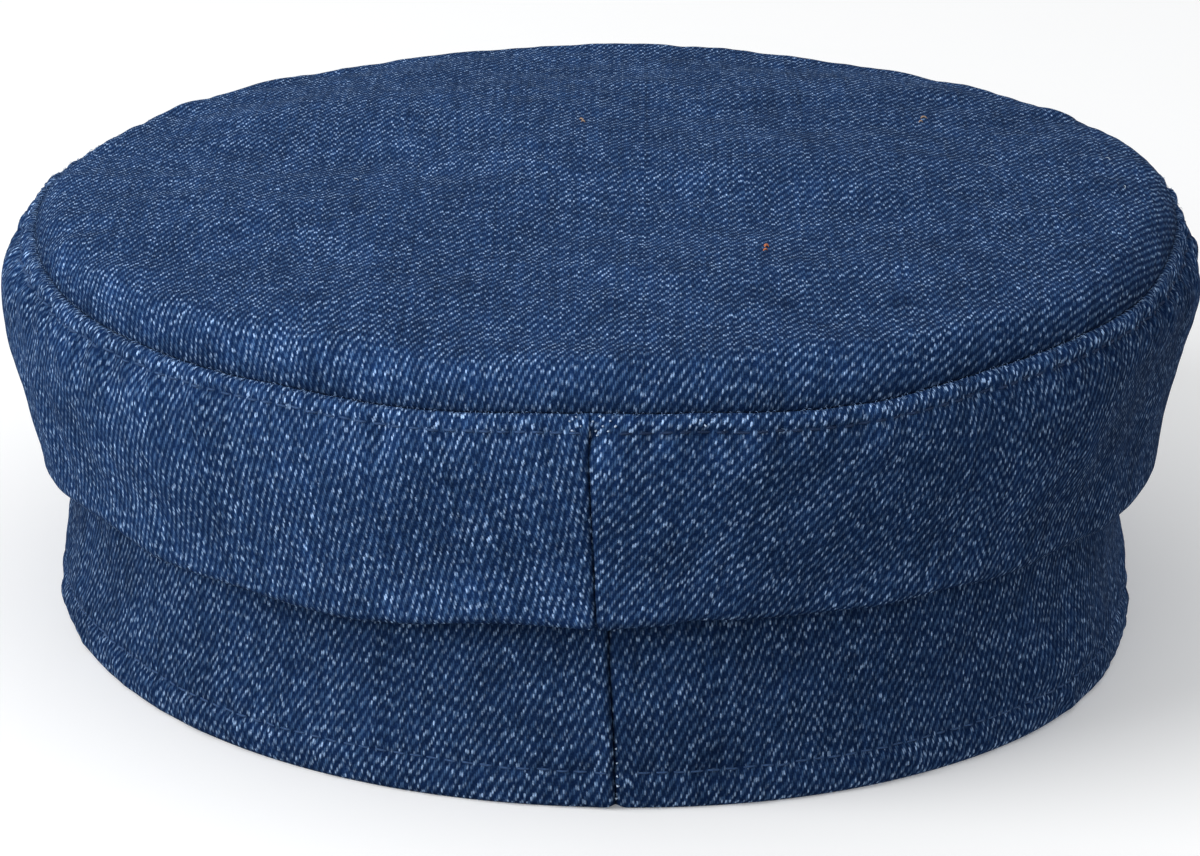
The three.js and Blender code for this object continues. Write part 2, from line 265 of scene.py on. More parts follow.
def ladder(out, inn):
    """Triangles between two rows of point numbers of different counts, facing back along the columns."""
    tris, i, j = [], 0, 0
    while i < len(out) - 1 or j < len(inn) - 1:
        if j == len(inn) - 1 or (i < len(out) - 1 and (i + 1) / (len(out) - 1) <= (j + 1) / (len(inn) - 1)):
            tris.append((out[i], out[i + 1], inn[j]))
            i += 1
        else:
            tris.append((out[i], inn[j + 1], inn[j]))
            j += 1
    return np.array(tris)


def strip(ids_a, ids_b):
    """Quads between two rows of point numbers."""
    return np.stack([ids_a[:-1], ids_a[1:], ids_b[1:], ids_b[:-1]], -1)


def panel_mesh(name, outer, inner, uv_out, uv_in, attributes=None):
    """A closed strip of cloth from grids of columns x rows, whose rows run down. Inner faces take the second slot."""
    nc, no, ni = outer.shape[0], outer.shape[1], inner.shape[1]
    o = np.arange(nc * no).reshape(nc, no)
    n = nc * no + np.arange(nc * ni).reshape(nc, ni)
    face = np.concatenate([strip(o[:, r], o[:, r + 1]) for r in range(no - 1)])
    back = np.concatenate([strip(n[:, r + 1], n[:, r]) for r in range(ni - 1)])
    top = strip(n[:, 0], o[:, 0])
    bottom = strip(o[:, -1], n[:, -1])
    first = ladder(o[0], n[0])
    last = ladder(o[-1], n[-1])[:, ::-1]
    attributes = {
        k: np.concatenate([v.reshape(-1), np.zeros(nc * ni)]) for k, v in (attributes or {}).items()
    }
    return add_mesh(
        name,
        np.concatenate([outer.reshape(-1, 3), inner.reshape(-1, 3)]),
        [face, back, top, bottom, first, last],
        np.concatenate([uv_out.reshape(-1, 2), uv_in.reshape(-1, 2)]),
        [0, 1, 0, 0, 0, 0],
        attributes,
    )


def normals_of(p):
    """Unit normals of a grid of points whose rows run down the outside."""
    n = np.cross(np.gradient(p, axis=0), np.gradient(p, axis=1))
    return n / np.maximum(np.linalg.norm(n, axis=-1, keepdims=True), 1e-9)


def lengths_down(grid):
    step = np.linalg.norm(np.diff(grid, axis=1), axis=-1)
    return np.concatenate([np.zeros((grid.shape[0], 1)), np.cumsum(step, axis=1)], axis=1)


def bell(x, width):
    return np.exp(-((x / width) ** 2))


class Field:
    """Smooth seeded unevenness over a flat sheet, in waves of about one length."""

    def __init__(self, seed, length, n=12):
        rng = np.random.RandomState(seed)
        k = 2 * np.pi / (length * rng.uniform(0.7, 1.6, n))
        a = rng.uniform(0, np.pi, n)
        self.kx, self.ky, self.p = k * np.cos(a), k * np.sin(a), rng.uniform(0, 2 * np.pi, n)
        self.n = n

    def __call__(self, x, y):
        out = np.zeros(np.broadcast(x, y).shape)
        for kx, ky, p in zip(self.kx, self.ky, self.p):
            out += np.cos(kx * x + ky * y + p)
        return out / np.sqrt(self.n / 2)


class Waves:
    """Smooth seeded unevenness along a line, in waves of about one length."""

    def __init__(self, seed, length, n=16):
        rng = np.random.RandomState(seed)
        self.k = 2 * np.pi / (length * rng.uniform(0.65, 1.7, n))
        self.p = rng.uniform(0, 2 * np.pi, n)

    def __call__(self, s):
        return sum(np.cos(k * s + p) for k, p in zip(self.k, self.p)) / np.sqrt(len(self.k) / 2)


# ------------------------------------------------------------------ the side panels
SKIN = 1.15
side_rows = rows_along(SIDE, ("r", "z", "longer", "seam", "fold", "bulge"), 0.72)
side_crest = int(np.argmax(side_rows[:, 1]))


def side_base(angles, rows):
    """Points of the side wall. The columns near the back lean with the back seam."""
    r, z, longer, seam, fold, bulge = rows.T
    shift = np.interp(z, [27, 60], [-0.25, 0.95])[None, :]
    near = 1 - eased(np.abs(angles) / 14)[:, None]
    a = angles[:, None] + shift * near
    s = {k: v.reshape(a.shape) for k, v in station(a.reshape(-1)).items()}
    near_seam = eased((z - 58.0) / 4.4)
    half = r + bulge * s["bulge"] - near_seam * drawn_in(a)
    x, y = oval(half, half + CROWN_LONGER_BY + longer, CROWN_ROUNDNESS, a)
    return tilted(x, y, z + seam * s["seam"] + fold * s["fold"])


def side_panel(name, a, b, seed):
    angles = spread(a, b)
    base = side_base(angles, side_rows)
    n = normals_of(base)
    d = lengths_down(base)
    d -= d[:, side_crest][:, None]
    row = int(len(side_rows) * 0.45)
    s = np.concatenate([[0], np.cumsum(np.linalg.norm(np.diff(base[:, row], axis=0), axis=1))])
    to_right = -s  # the cloth's own direction runs to the right, seen from outside
    from_seam = (s if a >= 0 else s[-1] - s)[:, None]
    from_front = (s[-1] - s if a >= 0 else s)[:, None]
    S = s[:, None] + 1000 * (a >= 0)

    inside = eased(1 + d / 1.2)  # nothing happens on the allowance
    broad = 0.34 * Field(seed, 46)(S, d * 1.3) * eased(d / 14) * eased((46 - d) / 8)
    mid = 0.13 * Field(seed + 1, 13)(S, d * 0.8) * eased(d / 6)
    fine = 0.035 * Field(seed + 2, 4.5)(S, d)
    # the seam's puff, its topstitch and the puckers between them
    tight = Waves(seed + 3, 5.2)(S + 0.35 * d) * 0.5 + Waves(seed + 4, 9.5)(S - 0.2 * d) * 0.5
    ends = eased((np.abs(angles) - 35) / 40)[:, None] * eased((150 - np.abs(angles)) / 30)[:, None]
    pucker = (0.44 + 0.06 * ends) * tight * bell(d - 4.0, 3.6) * eased((d + 0.4) / 1.4)
    held = (0.66 if a >= 0 else 0.92) * (1 + 0.4 * Waves(seed + 8, 19)(S))
    at_stitch = held * (-0.40 * bell(d - SEAM_STITCH_DOWN, 0.65) + 0.16 * bell(d - 1.5, 1.0) + 0.10 * bell(d - 4.6, 1.1))
    pull = -0.17 * np.cos(2 * np.pi * S / STITCH) * bell(d - SEAM_STITCH_DOWN, 0.9)
    # drag lines that run down from the stitches, and small dents near the roll
    drag = 0.13 * Waves(seed + 5, 15)(S + 0.5 * d) * bell(d - 8, 7)
    roll = 0.15 * Waves(seed + 6, 24)(S + 0.3 * d) * bell(d - 33, 7)
    over = 1.0 if a >= 0 else 0.2
    wide = 0.24 + 0.22 * eased((d - 22) / 12)
    groove = (-0.50 * bell(from_seam, wide) + 0.34 * over * bell(from_seam - 1.5, 1.7)) * eased((d - 1.6) / 2.0)
    groove = groove - 0.45 * bell(from_front, 0.24) + 0.2 * bell(from_front - 1.6, 1.6)
    along = 0.14 * Waves(seed + 7, 11)(d + 3 * np.sign(a + 1)) * bell(from_seam - 3, 4.5)
    calm = 1 - 0.65 * bell(d - 38, 6)  # the tight roll moves as one
    full = (0.8 if a >= 0 else 0.0) * bell(d - 29, 6) * bell(angles - 88, 16)[:, None]
    relief = inside * (broad + full + calm * (mid + fine + pucker + at_stitch + pull + drag + roll)) + groove * eased((d + 2) / 2) + along * eased(d / 4)
    outer = base + n * relief[..., None]
    # the inner face follows the slow waves
    lining = base + n * (inside * broad - SKIN * (1 - 0.5 * bell(d - 38, 7)))[..., None]
    tight_from = int(np.argmax(side_rows[:, 1] < 34.5))
    pick = np.unique(np.concatenate([np.arange(0, tight_from, 3), np.arange(tight_from, len(side_rows))]))
    inner, d_in = lining[:, pick], d[:, pick]

    # the panel was cut along an arc, so the twill turns as it goes round
    across = to_right - (0 if a >= 0 else to_right[-1])
    turn = np.radians(-13.5 - 0.1125 * across) if a >= 0 else np.radians(10.5 + 0.107 * across - 19.0 * eased((across - 32) / 38))
    step = np.diff(across)
    mean = (turn[1:] + turn[:-1]) / 2
    cu = np.concatenate([[0], np.cumsum(np.cos(mean) * step)])
    cv = np.concatenate([[0], np.cumsum(np.sin(mean) * step)])

    def cloth(depth):
        up = 20 - depth
        return np.stack([cu[:, None] - up * np.sin(turn)[:, None], cv[:, None] + up * np.cos(turn)[:, None]], -1) + seed * 7.3

    shade = np.clip(0.5 * bell(d + 0.5, 0.4) + (0.30 if a >= 0 else 0.55) * bell(d - SEAM_STITCH_DOWN, 0.6) + 0.95 * bell(from_seam, 1.4 * wide) * eased((d - 2) / 2) + eased((d - 44) / 5), 0, 1)
    # painted shade: this side is painted darker further round from the back, where it turns away from the key light,
    # easing off again past about 75 degrees
    painted_far_shade = (0.22 * eased((-angles - 5) / 15) + 0.42 * eased((-angles - 35) / 25)) * (1 - eased((-angles - 74) / 14))
    shade = np.clip(shade + painted_far_shade[:, None] * eased(d / 6), 0, 1)
    # lighter with wear on the puffed strip below the crown seam and beside the back seam; on the fold's rim it is
    # partly wear and partly a painted highlight
    wear_and_highlight = np.clip(bell(d - 1.6, 0.95) + 0.35 * bell(from_seam - 1.6, 0.9) + 0.75 * bell(d - 38.5, 2.4), 0, 1)
    o = panel_mesh(name, outer, inner, cloth(d), cloth(d_in), dict(shade=shade * np.ones_like(d), wear_and_highlight=wear_and_highlight * np.ones_like(d)))
    return o, dict(angles=angles, grid=outer, normals=normals_of(outer), down=d, along=s)


side_left, left_made = side_panel("crown_side_left_denim", 0.002, 180 - 0.002, 11)
side_right, right_made = side_panel("crown_side_right_denim", -180 + 0.002, -0.002, 29)

# ------------------------------------------------------------------ the head band
band_rows = rows_along(BAND, ("r", "z"), 0.72)


def band_base(angles, rows, inward=0.0):
    r, z = rows.T
    shift = np.interp(z, [0, 31], [-2.35, -1.15])[None, :]
    turn = (angles + 180) % 360 - 180
    near = 1 - eased(np.abs(turn) / 14)[:, None]
    a = angles[:, None] + shift * near
    half = r - inward - 1.0 * bell(turn[:, None] + 92, 30) * eased(z / 8)[None, :] + 0.8 * bell(turn[:, None] + 56, 15)
    x, y = oval(half, half + RIM_HALF_LENGTH - RIM_HALF_WIDTH, RIM_ROUNDNESS, a)
    return tilted(x, y, z + rim_lift(a) * (1 - z / 31.3))


def head_band():
    angles = spread(0.002, 360 - 0.002)
    base = band_base(angles, band_rows)
    n = normals_of(base)
    d = lengths_down(base)
    up = d[:, -1:] - d  # height over the rim along the cloth
    s = np.concatenate([[0], np.cumsum(np.linalg.norm(np.diff(base[:, len(band_rows) // 2], axis=0), axis=1))])
    S = s[:, None]
    left, right = S, S[-1] - S
    broad = 0.38 * Field(51, 42)(S, up * 1.2) * eased(up / 10)
    mid = 0.10 * Field(52, 11)(S, up)
    fine = 0.03 * Field(53, 4.2)(S, up)
    # the turned hem ropes a little: slanting ripples between the edge and its stitch line
    rope = 0.15 * Waves(54, 7.0)(S - 0.9 * up) * bell(up - 3.2, 2.6)
    pucker = 0.10 * Waves(55, 5.0)(S + 0.4 * up) * bell(up - HEM_STITCH_UP - 1.5, 2.6)
    at_stitch = -0.22 * bell(up - HEM_STITCH_UP, 0.5) + 0.12 * bell(up - 4.0, 1.8)
    pull = -0.07 * np.cos(2 * np.pi * S / STITCH) * bell(up - HEM_STITCH_UP, 0.8)
    groove = -0.48 * bell(left, 0.24) + 0.30 * bell(left - 1.5, 1.7) - 0.48 * bell(right, 0.24) + 0.08 * bell(right - 1.6, 1.8)
    along = 0.12 * Waves(56, 9)(up) * (bell(left - 3, 4) + bell(right - 3, 4))
    keep = eased(up / 1.6)
    relief = keep * (broad + mid + fine + rope + pucker + at_stitch + pull + along) + groove * eased(up / 0.8 + 0.2)
    outer = base + n * relief[..., None]
    # a small notch where the two ends meet at the rim
    notch = 0.5 * bell(left, 0.9) * bell(up, 1.6) + 0.5 * bell(right, 0.9) * bell(up, 1.6)
    outer[..., 2] += notch
    inner_rows = rows_along([dict(r=85.3, z=31.3), dict(r=86.7, z=15), dict(r=87.6, z=6), dict(r=87.9, z=2.2), dict(r=87.4, z=0.35)], ("r", "z"), 2.4)
    inner = band_base(angles, inner_rows, 2.1)
    inner[..., 2] += 0.5 * (bell(left, 0.9) + bell(right, 0.9)) * bell(inner_rows[:, 1][None, :], 1.6)
    uv = np.stack(np.broadcast_arrays(-S, up), -1) + 91.7
    uv_in = np.stack(np.broadcast_arrays(-S, inner_rows[:, 1][None, :]), -1) + 91.7
    turn = ((angles + 180) % 360 - 180)[:, None]
    # painted shade: darker in the hem's stitch groove and in the back seam's groove, and the whole band painted darker
    # except on the wearer's right, where this fades out between 0 and 60 degrees from the back
    shade = np.clip(0.22 * bell(up - HEM_STITCH_UP, 0.5) + 0.9 * bell(left, 0.4) + 0.9 * bell(right, 0.4) + 0.10 * eased((turn + 60) / 40) + 0.18 * eased((turn + 22) / 24), 0, 1)
    wear_and_highlight = np.clip(0.7 * bell(up - 1.2, 1.3) + 0.6 * bell(left - 1.6, 0.9) + 0.28 * bell(up - HEM_STITCH_UP + 1.0, 0.8), 0, 1)
    o = panel_mesh("head_band_denim", outer, inner, uv, uv_in, dict(shade=shade * np.ones_like(d), wear_and_highlight=wear_and_highlight * np.ones_like(d)))
    return o, dict(angles=angles, grid=outer, normals=normals_of(outer), down=up, along=s)


band, band_made = head_band()

# ------------------------------------------------------------------ the crown top
SEAM_R = 93.7
FLAT_R = SEAM_R - 6.8
TOP_BASE = SEAM_Z + 0.15
top_broad, top_mid, top_fine = Field(71, 52), Field(72, 15), Field(73, 5)
top_tight, top_drag = Waves(74, 6.5), Waves(75, 14)


def top_place(r, z, follow, seam, angles):
    s = station(angles)
    back = PLATEAU_BACK_RISE * np.cos(np.radians(angles)) + s["shoulder"]
    r = r - drawn_in(angles) * eased((r - 55.0) / 32.0)
    x, y = oval(r, r * (1 + CROWN_LONGER_BY / SEAM_R), CROWN_ROUNDNESS, angles)
    return tilted(x, y, z + follow * back + seam * s["seam"])


def crown_top():
    n_round = 960
    shoulder = rows_along(SHOULDER[::-1], ("inset", "rise"), 0.0085 * 60)
    # resample by true length: the rise is a share of the height
    points = np.array([[SEAM_R - q["inset"], TOP_BASE + (PLATEAU_Z - TOP_BASE) * q["rise"]] for q in SHOULDER[::-1]])
    rows = rows_along([dict(r=p[0], z=p[1]) for p in points], ("r", "z"), 0.55)
    outer = []
    for share in np.linspace(0, 1, 50)[1:]:
        z = TOP_Z + (PLATEAU_Z - TOP_Z) * share**2.2
        outer.append((FLAT_R * share, z, share**3, 0.0))
    for r, z in rows[1:]:
        rise = (z - TOP_BASE) / (PLATEAU_Z - TOP_BASE)
        outer.append((r, z, rise, 1 - rise))
    inner = []
    for share in np.linspace(0, 1, 24)[1:]:
        z = TOP_Z + (PLATEAU_Z - TOP_Z) * share**2.2 - SKIN
        inner.append((FLAT_R * share * 0.995, z, share**3, 0.0))
    for inset, down in ((5.4, 1.45), (4.2, 1.95), (3.2, 2.8), (2.5, 3.8), (2.1, 4.6)):
        rise = 1 - down / (PLATEAU_Z - TOP_BASE)
        inner.append((SEAM_R - inset, PLATEAU_Z - down, rise, 1 - rise))

    def count(r):
        c = n_round
        while c > 30 and 2 * np.pi * r / c < 0.5:
            c //= 2
        return c

    verts, uvs, shade, wear_and_highlight, faces, slots = [], [], [], [], [], []
    made = {}

    def skin(table, outside):
        rings, total = [], sum(len(v) for v in verts)
        # distance over the shoulder from the flat top's edge, and its base normals
        full = np.linspace(-180, 180, n_round, endpoint=False)
        grid = np.stack([top_place(*row, full) for row in table], 1)
        padded = np.concatenate([grid[-1:], grid, grid[:1]])
        n = normals_of(padded)[1:-1]
        d = lengths_down(grid)
        edge = int(np.argmin([abs(row[0] - FLAT_R * (1 if outside else 0.995)) for row in table]))
        for k, row in enumerate(table):
            c = count(row[0]) if k < len(table) - 3 else n_round
            c = max(c, len(rings[-1]) if rings else 0)
            if rings and c > 2 * len(rings[-1]):
                c = 2 * len(rings[-1])
            pick = np.arange(c) * (n_round // c)
            p, nn = grid[pick, k], n[pick, k]
            over = np.maximum(0, d[pick, k] - d[pick, edge])
            flat = grid[pick, min(k, edge)][:, :2]
            out = nn[:, :2] * 0
            ring_n = np.stack(oval(1 / SEAM_R, 1 / (SEAM_R + CROWN_LONGER_BY), 2.0, full[pick]), -1)
            ring_n /= np.linalg.norm(ring_n, axis=1, keepdims=True)
            cloth = flat + ring_n * over[:, None]
            if outside:
                seam_d = d[pick, -4] - d[pick, k]
                seam_d = np.maximum(0, seam_d)
                S = full[pick] * 1.66
                relief = 0.50 * top_broad(cloth[:, 0], cloth[:, 1]) * eased(seam_d / 20)
                relief += 0.11 * top_mid(cloth[:, 0], cloth[:, 1]) * eased(seam_d / 5)
                relief += 0.03 * top_fine(cloth[:, 0], cloth[:, 1])
                wrap = eased((180 - np.abs(full[pick])) / 4)
                relief += wrap * 0.07 * top_tight(S) * bell(seam_d - 1.8, 2.0) + wrap * 0.07 * top_drag(S) * bell(seam_d - 6, 5)
                relief *= eased(seam_d / 0.8)
                p = p + nn * relief[:, None]
                # painted shade: the shoulder painted darker just above the crown seam, and the crown top painted darker
                # towards the wearer's right and towards the back
                painted_top_shade = 0.22 * eased((30 - cloth[:, 0]) / 120) + 0.14 * eased((cloth[:, 1] + 20) / 100)
                shade.append(np.clip(0.45 * bell(seam_d, 0.7) + 0.65 * bell(seam_d, 2.3) + painted_top_shade, 0, 1))
                wear_and_highlight.append(np.clip(0.12 * bell(seam_d - 7.0, 3.4), 0, 1))
                if k >= edge:
                    made.setdefault("rows", []).append(p)
            else:
                p = p.copy()
                p[:, 2] += 0.50 * top_broad(cloth[:, 0], cloth[:, 1]) * eased((FLAT_R - row[0] + 12) / 20)
                shade.append(np.zeros(c))
                wear_and_highlight.append(np.zeros(c))
            verts.append(p)
            uvs.append(np.stack([-cloth[:, 0], -cloth[:, 1]], -1) + 5.0)
            rings.append(total + np.arange(c))
            total += c
        quads, tris = [], []
        for a, b in zip(rings, rings[1:]):
            a2, b2 = np.roll(a, -1), np.roll(b, -1)
            if len(a) == len(b):
                quads.append(np.stack([a, a2, b2, b], -1))
            else:
                e, m = b[0::2], b[1::2]
                e2 = np.roll(e, -1)
                tris += [np.stack([a, a2, m], -1), np.stack([a2, e2, m], -1), np.stack([a, m, e], -1)]
        pole = total
        middle = grid[:, 0].mean(0)
        middle[2] = (TOP_Z if outside else TOP_Z - SKIN)
        middle[2] += float(0.5 * top_broad(np.array(0.0), np.array(0.0)))
        verts.append(middle[None])
        uvs.append(np.array([[5.0 - middle[0], 5.0 - middle[1]]]))
        shade.append(np.zeros(1))
        wear_and_highlight.append(np.zeros(1))
        first = rings[0]
        tris.append(np.stack([np.full(len(first), pole), np.roll(first, -1), first], -1)[:, [0, 1, 2]])
        quads, tris = np.concatenate(quads), np.concatenate(tris)
        if not outside:
            quads, tris = quads[:, ::-1], tris[:, ::-1]
        faces.extend([quads, tris])
        slots.extend([0, 0] if outside else [1, 1])
        return rings[-1]

    o_last = skin(outer, True)
    i_last = skin(inner, False)
    a2, b2 = np.roll(o_last, -1), np.roll(i_last, -1)
    faces.append(np.stack([o_last, a2, b2, i_last], -1))
    slots.append(0)
    o = add_mesh("crown_top_denim", np.concatenate(verts), faces, np.concatenate(uvs), slots,
                 dict(shade=np.concatenate(shade), wear_and_highlight=np.concatenate(wear_and_highlight)))
    return o


top = crown_top()

# ------------------------------------------------------------------ the peak
PEAK_HALF_SPAN, PEAK_DEPTH, PEAK_END_DEPTH = 62.0, 50.0, 1.5
PEAK_ROOT_RISE, PEAK_EDGE_Z, PEAK_CROWN = 1.6, 0.1, 2.2


def peak_point(s, t, above):
    """The peak's faces: s is -1 to 1 from end to end, t is 0 at the root and 1 at the edge, above is 0 to 1."""
    degrees = 180 + s * PEAK_HALF_SPAN
    r = RIM_HALF_WIDTH + 0.3
    x, y = oval(r, r + RIM_HALF_LENGTH - RIM_HALF_WIDTH, RIM_ROUNDNESS, degrees)
    arch = np.maximum(0, 1 - s * s)
    depth = PEAK_END_DEPTH + (PEAK_DEPTH - PEAK_END_DEPTH) * arch**0.85
    ox, oy = 0.3 * np.sin(np.radians(degrees)), np.cos(np.radians(degrees))
    k = np.hypot(ox, oy)
    low = rim_lift(degrees) + PEAK_ROOT_RISE
    z = low + (PEAK_EDGE_Z - low) * t + PEAK_CROWN * 4 * t * (1 - t) * arch + above * PEAK_WALL
    return np.stack(np.broadcast_arrays(x + ox / k * depth * t, y + oy / k * depth * t, z), -1)


def peak():
    s = np.sin(np.linspace(-np.pi / 2, np.pi / 2, 241)) * 0.35 + np.linspace(-1, 1, 241) * 0.65
    depth = PEAK_END_DEPTH + (PEAK_DEPTH - PEAK_END_DEPTH) * np.maximum(0, 1 - s * s) ** 0.85
    # round the edge: t stops short of it and a half round joins the faces
    short = np.minimum(1.5 / depth, 0.45)
    loop = [("u", t) for t in np.linspace(0, 1, 46)] + [("n", a) for a in np.linspace(0, 180, 9)[1:-1]] + [("l", t) for t in np.linspace(1, 0, 26)]
    points, faces_t = [], []
    for kind, v in loop:
        if kind in "ul":
            p = peak_point(s, v * (1 - short), 1.0 if kind == "u" else 0.0)
        else:
            a = np.radians(v)
            reach = 1 - short + short * np.sin(a)
            p = peak_point(s, reach, (1 + np.cos(a)) / 2)
        points.append(p)
        faces_t.append(v if kind == "u" else 1 if kind == "n" else v)
    grid = np.stack(points, 1)  # columns x loop
    t = np.array(faces_t)[None, :]
    length = depth[:, None]
    from_edge = (1 - t) * length
    up = np.array([k == "u" for k, v in loop])[None, :]
    n = normals_of(grid)
    centre = grid.mean(1, keepdims=True)
    if (n[:, 20, 2].mean()) < 0:
        n = -n
    line = bell(from_edge - 3.0, 0.5) + bell(from_edge - 9.0, 0.5)
    body = eased(from_edge / 1.5) * eased(t * length / 3) * eased(length / 12)
    relief = body * up * (0.16 * bell(from_edge - 6, 2.4) - 0.22 * line
        + 0.22 * Field(81, 30)(grid[..., 0], grid[..., 1]) + 0.06 * Field(82, 8)(grid[..., 0], grid[..., 1])
        + 0.07 * Waves(83, 6)(grid[..., 0]) * (bell(from_edge - 3, 1.6) + bell(from_edge - 9, 1.6)))
    grid = grid + n * relief[..., None]
    nc, nl = grid.shape[:2]
    ids = np.arange(nc * nl).reshape(nc, nl)
    face = np.concatenate([np.stack([ids[:-1, r], ids[1:, r], ids[1:, (r + 1) % nl], ids[:-1, (r + 1) % nl]], -1) for r in range(nl)])
    top_ids = [i for i, (k, v) in enumerate(loop) if k == "u"] + [i for i, (k, v) in enumerate(loop) if k == "n"][:4]
    low_ids = [i for i in range(nl) if i not in top_ids][::-1]
    first = ladder(ids[0][top_ids], ids[0][low_ids])
    last = ladder(ids[-1][top_ids], ids[-1][low_ids])[:, ::-1]
    run = lengths_down(grid)
    edge_at = 45  # the last row of the upper face
    out = grid[:, edge_at, :2] - grid[:, edge_at - 3, :2]
    out /= np.maximum(np.linalg.norm(out, axis=1, keepdims=True), 1e-9)
    beyond = np.maximum(0, run - run[:, edge_at : edge_at + 1])[..., None] * np.ones((1, 1, 2))
    over_edge = grid[:, edge_at : edge_at + 1, :2] + out[:, None] * beyond
    is_nose = np.array([k != "u" for k, v in loop])[None, :, None]
    cloth = np.where(is_nose, over_edge, grid[..., :2])
    uv = np.stack([-cloth[..., 0], -cloth[..., 1]], -1) + 33.0
    shade = np.clip(0.5 * line * up, 0, 1)
    wear_and_highlight = np.clip(0.6 * bell(from_edge, 1.2) * np.ones_like(up), 0, 1)
    o = add_mesh("peak_denim", grid.reshape(-1, 3), [face, first, last], uv.reshape(-1, 2), [0, 0, 0],
                 dict(shade=shade.reshape(-1), wear_and_highlight=wear_and_highlight.reshape(-1)))
    return o, dict(grid=grid, normals=n, from_edge=from_edge, upper=46, s=s)


peak_piece, peak_made = peak()


def outward(o):
    """Turns the faces out if the mesh came out inside out."""
    me = o.data
    me.calc_loop_triangles()
    v = np.empty(len(me.vertices) * 3, np.float32)
    me.vertices.foreach_get("co", v)
    t = np.empty(len(me.loop_triangles) * 3, np.int32)
    me.loop_triangles.foreach_get("vertices", t)
    p = v.reshape(-1, 3).astype(float)[t.reshape(-1, 3)]
    volume = float(np.einsum("ij,ij->i", p[:, 0], np.cross(p[:, 1], p[:, 2])).sum() / 6)
    if volume < 0:
        me.flip_normals()
    print("volume", o.name, round(volume * 1e6, 2), "cm3, triangles", len(t) // 3)


for piece in (side_left, side_right, band, top, peak_piece):
    outward(piece)

# ------------------------------------------------------------------ stitches, small and joined
def thread(name, lines, radius=0.2, sides=6, rings=7, seed=1):
    """Short stitches. Each line gives a point and a normal at each ring."""
    rng = np.random.RandomState(seed)
    verts, faces, uv = [], [], []
    turns = np.linspace(0, 2 * np.pi, sides, endpoint=False)
    for points, normals in lines:
        base = len(verts) * 1
        k = len(points)
        t = np.linspace(0, 1, k)
        along = np.gradient(points, axis=0)
        along /= np.linalg.norm(along, axis=1, keepdims=True)
        across = np.cross(normals, along)
        across /= np.linalg.norm(across, axis=1, keepdims=True)
        lift = -0.20 + 0.30 * np.sin(np.pi * t) ** 0.6
        r = radius * (0.55 + 0.45 * np.sin(np.pi * t) ** 0.5) * rng.uniform(0.9, 1.1)
        mid = points + normals * lift[:, None]
        start = sum(len(v) for v in verts)
        ring = mid[:, None] + r[:, None, None] * (np.cos(turns)[None, :, None] * across[:, None] + 0.8 * np.sin(turns)[None, :, None] * normals[:, None])
        verts.append(ring.reshape(-1, 3))
        verts.append(np.stack([mid[0], mid[-1]]))
        ids = start + np.arange(k * sides).reshape(k, sides)
        a, b = ids[:-1], ids[1:]
        faces.append(np.stack([a, np.roll(a, -1, 1), np.roll(b, -1, 1), b], -1).reshape(-1, 4))
        caps = start + k * sides
        first, last = ids[0], ids[-1]
        uv.append(np.stack(np.broadcast_arrays(np.linspace(0, 2.2, k)[:, None], np.arange(sides)[None, :] * 0.2), -1).reshape(-1, 2))
        uv.append(np.array([[0, 0], [2.2, 0]]))
        faces.append((np.stack([np.full(sides, caps), np.roll(first, -1), first], -1), np.stack([np.full(sides, caps + 1), last, np.roll(last, -1)], -1)))
    quads = np.concatenate([f for f in faces if not isinstance(f, tuple)])
    tris = np.concatenate([g for f in faces if isinstance(f, tuple) for g in f])
    o = add_mesh(name, np.concatenate(verts), [quads, tris], np.concatenate(uv), [0, 0])
    outward(o)
    return o


def stitch_lines(made, want, start, stop, seed, wander=0.12, gap=0.55):
    """Stitches along a panel at one distance down its cloth."""
    rng = np.random.RandomState(seed)
    s, down = made["along"], made["down"]
    grid, normals = made["grid"], made["normals"]
    sign = 1 if down[0, -1] > down[0, 0] else -1
    row = np.array([np.interp(want * sign, down[i] * sign, np.arange(down.shape[1])) for i in range(len(s))])
    lines, at = [], start
    while at + STITCH < stop:
        length = STITCH - gap + rng.uniform(-0.12, 0.12)
        off = rng.uniform(-wander, wander)
        q = at + np.linspace(0, length, 7)
        ci = np.interp(q, s, np.arange(len(s)))
        ri = np.interp(ci, np.arange(len(s)), row) + off + rng.uniform(-0.08, 0.08) * np.linspace(-1, 1, 7)
        i, j = np.clip(ci.astype(int), 0, len(s) - 2), np.clip(ri.astype(int), 0, grid.shape[1] - 2)
        fi, fj = (ci - i)[:, None], (ri - j)[:, None]

        def read(g):
            return (g[i, j] * (1 - fi) + g[i + 1, j] * fi) * (1 - fj) + (g[i, j + 1] * (1 - fi) + g[i + 1, j + 1] * fi) * fj

        n = read(normals)
        lines.append((read(grid), n / np.linalg.norm(n, axis=1, keepdims=True)))
        at += STITCH * rng.uniform(0.94, 1.06)
    return lines


thread_left = thread("seam_stitches_left", stitch_lines(left_made, SEAM_STITCH_DOWN, 1.0, left_made["along"][-1] - 1, 5), seed=5)
thread_right = thread("seam_stitches_right", stitch_lines(right_made, SEAM_STITCH_DOWN, 1.0, right_made["along"][-1] - 1, 6), seed=6)
thread_hem = thread("hem_stitches", stitch_lines(band_made, HEM_STITCH_UP, 1.0, band_made["along"][-1] - 1, 7), radius=0.18, seed=7)


